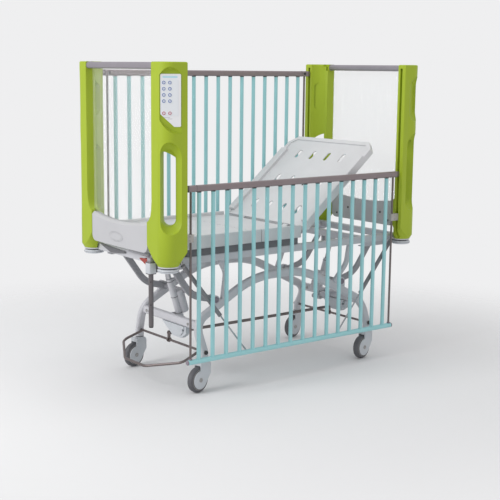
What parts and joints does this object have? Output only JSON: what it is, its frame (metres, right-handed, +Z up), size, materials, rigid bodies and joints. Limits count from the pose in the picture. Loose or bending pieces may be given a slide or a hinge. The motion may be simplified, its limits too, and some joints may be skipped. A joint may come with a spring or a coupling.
{
  "type": "pediatric hospital cot",
  "caption": "Pediatric hospital cot: moulded corner posts, clear end panels, sliding barred drop sides and an adjustable platform on a castored undercarriage.",
  "frame": {"origin": "middle of the cot on the floor, below the centre of the overall box", "axes": "+X to the head end, +Y to the far long side, +Z up"},
  "size_m": [1.628, 0.79, 1.557],
  "materials": {
    "post_green": "satin moulded plastic",
    "bar_turquoise": "satin powder coat",
    "rail_mauve": "satin anodised",
    "rod_steel": "dark plated",
    "end_rail_grey": "satin anodised",
    "pane_clear": "clear acrylic",
    "cover_grey": "moulded",
    "deck_grey": "moulded",
    "frame_coat": "satin powder coat",
    "zinc_steel": "zinc plated",
    "castor_grey": "moulded",
    "tyre_grey": "matt rubber",
    "roller_grey": "moulded",
    "lever_red": "moulded",
    "gas_black": "satin black",
    "gas_chrome": "polished",
    "label_white": "satin film",
    "key_white": "membrane",
    "rail_dark": "moulded",
    "guide_grey": "moulded"
  },
  "bodies": {
    "base": {"arch_near": "frame_coat", "arch_far": "frame_coat", "cross_tube_foot": "frame_coat", "cross_tube_head": "frame_coat", "brake_guide_foot": "frame_coat", "brake_guide_head": "frame_coat"},
    "platform": {"platform_frame": "frame_coat", "bumper_rollers": "roller_grey", "rail_guides": "guide_grey", "accessory_sleeve": "zinc_steel", "control_panel": "label_white", "keypad": "key_white", "deck_rails": "rail_dark", "deck_seat": "deck_grey", "deck_legs": "deck_grey", "deck_pins": "zinc_steel", "post_near_foot": "post_green", "post_near_head": "post_green", "post_far_foot": "post_green", "post_far_head": "post_green", "end_rail_foot": "end_rail_grey", "end_pane_foot": "pane_clear", "end_cover_foot": "cover_grey", "end_rail_head": "end_rail_grey", "end_pane_head": "pane_clear", "end_cover_head": "cover_grey"},
    "lift_arm_foot": {"lift_arm_foot": "frame_coat"},
    "jack_body_foot": {"lift_jack_body_foot": "frame_coat"},
    "jack_piston_foot": {"lift_jack_piston_foot": "gas_chrome"},
    "lift_arm_head": {"lift_arm_head": "frame_coat"},
    "jack_body_head": {"lift_jack_body_head": "frame_coat"},
    "jack_piston_head": {"lift_jack_piston_head": "gas_chrome"},
    "castor_near_foot": {"castor_housing_near_foot": "castor_grey"},
    "castor_wheel_near_foot": {"castor_wheel_near_foot": "tyre_grey"},
    "castor_near_head": {"castor_housing_near_head": "castor_grey"},
    "castor_wheel_near_head": {"castor_wheel_near_head": "tyre_grey"},
    "castor_far_foot": {"castor_housing_far_foot": "castor_grey"},
    "castor_wheel_far_foot": {"castor_wheel_far_foot": "tyre_grey"},
    "castor_far_head": {"castor_housing_far_head": "castor_grey"},
    "castor_wheel_far_head": {"castor_wheel_far_head": "tyre_grey"},
    "brake_pedal": {"brake_pedal_loop": "zinc_steel"},
    "brake_shaft": {"brake_shaft_head": "zinc_steel"},
    "brake_link": {"brake_link_rod": "zinc_steel"},
    "drop_side_near": {"drop_side_grille_near": "bar_turquoise", "drop_side_top_rail_near": "rail_mauve", "drop_side_guide_rods_near": "rod_steel"},
    "gas_tube_near_foot": {"gas_spring_tube_near_foot": "gas_black"},
    "gas_rod_near_foot": {"gas_spring_rod_near_foot": "gas_chrome"},
    "gas_tube_near_head": {"gas_spring_tube_near_head": "gas_black"},
    "gas_rod_near_head": {"gas_spring_rod_near_head": "gas_chrome"},
    "drop_side_far": {"drop_side_grille_far": "bar_turquoise", "drop_side_top_rail_far": "rail_mauve", "drop_side_guide_rods_far": "rod_steel"},
    "gas_tube_far_foot": {"gas_spring_tube_far_foot": "gas_black"},
    "gas_rod_far_foot": {"gas_spring_rod_far_foot": "gas_chrome"},
    "gas_tube_far_head": {"gas_spring_tube_far_head": "gas_black"},
    "gas_rod_far_head": {"gas_spring_rod_far_head": "gas_chrome"},
    "backrest": {"backrest": "deck_grey"},
    "release_lever_foot": {"release_lever_foot": "lever_red"},
    "release_lever_head": {"release_lever_head": "lever_red"}
  },
  "joints": [
    {"name": "platform_lift", "type": "slide", "parent": "base", "child": "platform", "axis": [0, 0, 1], "range_m": [0, 0.08]},
    {"name": "lift_arm_turn_foot", "type": "hinge", "parent": "base", "child": "lift_arm_foot", "pos_m": [-0.412, 0, 0.424], "axis": [0, 1, 0], "range_deg": [0, 23.3]},
    {"name": "jack_tilt_foot", "type": "hinge", "parent": "base", "child": "jack_body_foot", "pos_m": [-0.455, 0, 0.296], "axis": [0, 1, 0], "range_deg": [0, 3.48]},
    {"name": "jack_extend_foot", "type": "slide", "parent": "jack_body_foot", "child": "jack_piston_foot", "axis": [-0.3022, 0, 0.9533], "range_m": [0, 0.07703]},
    {"name": "lift_arm_turn_head", "type": "hinge", "parent": "base", "child": "lift_arm_head", "pos_m": [0.412, 0, 0.424], "axis": [0, 1, 0], "range_deg": [-23.3, 0]},
    {"name": "jack_tilt_head", "type": "hinge", "parent": "base", "child": "jack_body_head", "pos_m": [0.455, 0, 0.296], "axis": [0, 1, 0], "range_deg": [-3.48, 0]},
    {"name": "jack_extend_head", "type": "slide", "parent": "jack_body_head", "child": "jack_piston_head", "axis": [0.3022, 0, 0.9533], "range_m": [0, 0.07703]},
    {"name": "castor_swivel_near_foot", "type": "hinge", "parent": "base", "child": "castor_near_foot", "pos_m": [-0.515, -0.287, 0.15], "axis": [0, 0, 1], "continuous": true},
    {"name": "castor_roll_near_foot", "type": "hinge", "parent": "castor_near_foot", "child": "castor_wheel_near_foot", "pos_m": [-0.55608, -0.29573, 0.0625], "axis": [-0.2079, 0.9781, 0], "continuous": true},
    {"name": "castor_swivel_near_head", "type": "hinge", "parent": "base", "child": "castor_near_head", "pos_m": [0.56, -0.287, 0.15], "axis": [0, 0, 1], "continuous": true},
    {"name": "castor_roll_near_head", "type": "hinge", "parent": "castor_near_head", "child": "castor_wheel_near_head", "pos_m": [0.51892, -0.29573, 0.0625], "axis": [-0.2079, 0.9781, 0], "continuous": true},
    {"name": "castor_swivel_far_foot", "type": "hinge", "parent": "base", "child": "castor_far_foot", "pos_m": [-0.515, 0.287, 0.15], "axis": [0, 0, 1], "continuous": true},
    {"name": "castor_roll_far_foot", "type": "hinge", "parent": "castor_far_foot", "child": "castor_wheel_far_foot", "pos_m": [-0.55608, 0.27827, 0.0625], "axis": [-0.2079, 0.9781, 0], "continuous": true},
    {"name": "castor_swivel_far_head", "type": "hinge", "parent": "base", "child": "castor_far_head", "pos_m": [0.56, 0.287, 0.15], "axis": [0, 0, 1], "continuous": true},
    {"name": "castor_roll_far_head", "type": "hinge", "parent": "castor_far_head", "child": "castor_wheel_far_head", "pos_m": [0.51892, 0.27827, 0.0625], "axis": [-0.2079, 0.9781, 0], "continuous": true},
    {"name": "brake_pedal_turn", "type": "hinge", "parent": "base", "child": "brake_pedal", "pos_m": [-0.515, 0, 0.19], "axis": [0, 1, 0], "range_deg": [-10, 10]},
    {"name": "brake_shaft_turn", "type": "hinge", "parent": "base", "child": "brake_shaft", "pos_m": [0.56, 0, 0.19], "axis": [0, 1, 0], "range_deg": [-10, 10]},
    {"name": "brake_link_slide", "type": "slide", "parent": "base", "child": "brake_link", "axis": [1, 0, 0], "range_m": [-0.00629, 0.00629]},
    {"name": "drop_side_near_slide", "type": "slide", "parent": "platform", "child": "drop_side_near", "axis": [0, 0, 1], "range_m": [0, 0.514]},
    {"name": "gas_tilt_near_foot", "type": "hinge", "parent": "platform", "child": "gas_tube_near_foot", "pos_m": [-0.682, -0.338, 0.646], "axis": [0, 1, 0], "range_deg": [-56.35, 0]},
    {"name": "gas_stroke_near_foot", "type": "slide", "parent": "gas_tube_near_foot", "child": "gas_rod_near_foot", "axis": [0.6328, 0, -0.7743], "range_m": [-0.22399, 0]},
    {"name": "gas_tilt_near_head", "type": "hinge", "parent": "platform", "child": "gas_tube_near_head", "pos_m": [0.682, -0.338, 0.646], "axis": [0, 1, 0], "range_deg": [0, 56.35]},
    {"name": "gas_stroke_near_head", "type": "slide", "parent": "gas_tube_near_head", "child": "gas_rod_near_head", "axis": [-0.6328, 0, -0.7743], "range_m": [-0.22399, 0]},
    {"name": "drop_side_far_slide", "type": "slide", "parent": "platform", "child": "drop_side_far", "axis": [0, 0, 1], "range_m": [-0.514, 0]},
    {"name": "gas_tilt_far_foot", "type": "hinge", "parent": "platform", "child": "gas_tube_far_foot", "pos_m": [-0.682, 0.338, 0.646], "axis": [0, 1, 0], "range_deg": [0, 56.35]},
    {"name": "gas_stroke_far_foot", "type": "slide", "parent": "gas_tube_far_foot", "child": "gas_rod_far_foot", "axis": [0.9953, 0, 0.0972], "range_m": [0, 0.22399]},
    {"name": "gas_tilt_far_head", "type": "hinge", "parent": "platform", "child": "gas_tube_far_head", "pos_m": [0.682, 0.338, 0.646], "axis": [0, 1, 0], "range_deg": [-56.35, 0]},
    {"name": "gas_stroke_far_head", "type": "slide", "parent": "gas_tube_far_head", "child": "gas_rod_far_head", "axis": [-0.9953, 0, 0.0972], "range_m": [0, 0.22399]},
    {"name": "backrest_tilt", "type": "hinge", "parent": "platform", "child": "backrest", "pos_m": [0.065, 0, 0.728], "axis": [0, 1, 0], "range_deg": [-30, 40]},
    {"name": "release_lever_turn_foot", "type": "hinge", "parent": "platform", "child": "release_lever_foot", "pos_m": [-0.765, -0.178, 0.6465], "axis": [1, 0, 0], "range_deg": [-25, 25], "stiffness_Nm_per_rad": 0.4},
    {"name": "release_lever_turn_head", "type": "hinge", "parent": "platform", "child": "release_lever_head", "pos_m": [0.765, 0.178, 0.6465], "axis": [1, 0, 0], "range_deg": [-25, 25], "stiffness_Nm_per_rad": 0.4}
  ],
  "couplings": [
    {"joint": "lift_arm_turn_foot", "follows": "platform_lift", "rad_per_m": 5.0809},
    {"joint": "jack_tilt_foot", "follows": "platform_lift", "rad_per_m": 0.7597},
    {"joint": "jack_extend_foot", "follows": "platform_lift", "ratio": 0.96244},
    {"joint": "lift_arm_turn_head", "follows": "platform_lift", "rad_per_m": -5.0809},
    {"joint": "jack_tilt_head", "follows": "platform_lift", "rad_per_m": -0.7597},
    {"joint": "jack_extend_head", "follows": "platform_lift", "ratio": 0.96244},
    {"joint": "brake_shaft_turn", "follows": "brake_pedal_turn", "ratio": 1},
    {"joint": "brake_link_slide", "follows": "brake_pedal_turn", "m_per_rad": 0.036},
    {"joint": "gas_tilt_near_foot", "follows": "drop_side_near_slide", "rad_per_m": -1.9125},
    {"joint": "gas_stroke_near_foot", "follows": "drop_side_near_slide", "ratio": -0.43557},
    {"joint": "gas_tilt_near_head", "follows": "drop_side_near_slide", "rad_per_m": 1.9125},
    {"joint": "gas_stroke_near_head", "follows": "drop_side_near_slide", "ratio": -0.43557},
    {"joint": "gas_tilt_far_foot", "follows": "drop_side_far_slide", "rad_per_m": -1.9125},
    {"joint": "gas_stroke_far_foot", "follows": "drop_side_far_slide", "ratio": -0.43557},
    {"joint": "gas_tilt_far_head", "follows": "drop_side_far_slide", "rad_per_m": 1.9125},
    {"joint": "gas_stroke_far_head", "follows": "drop_side_far_slide", "ratio": -0.43557}
  ]
}
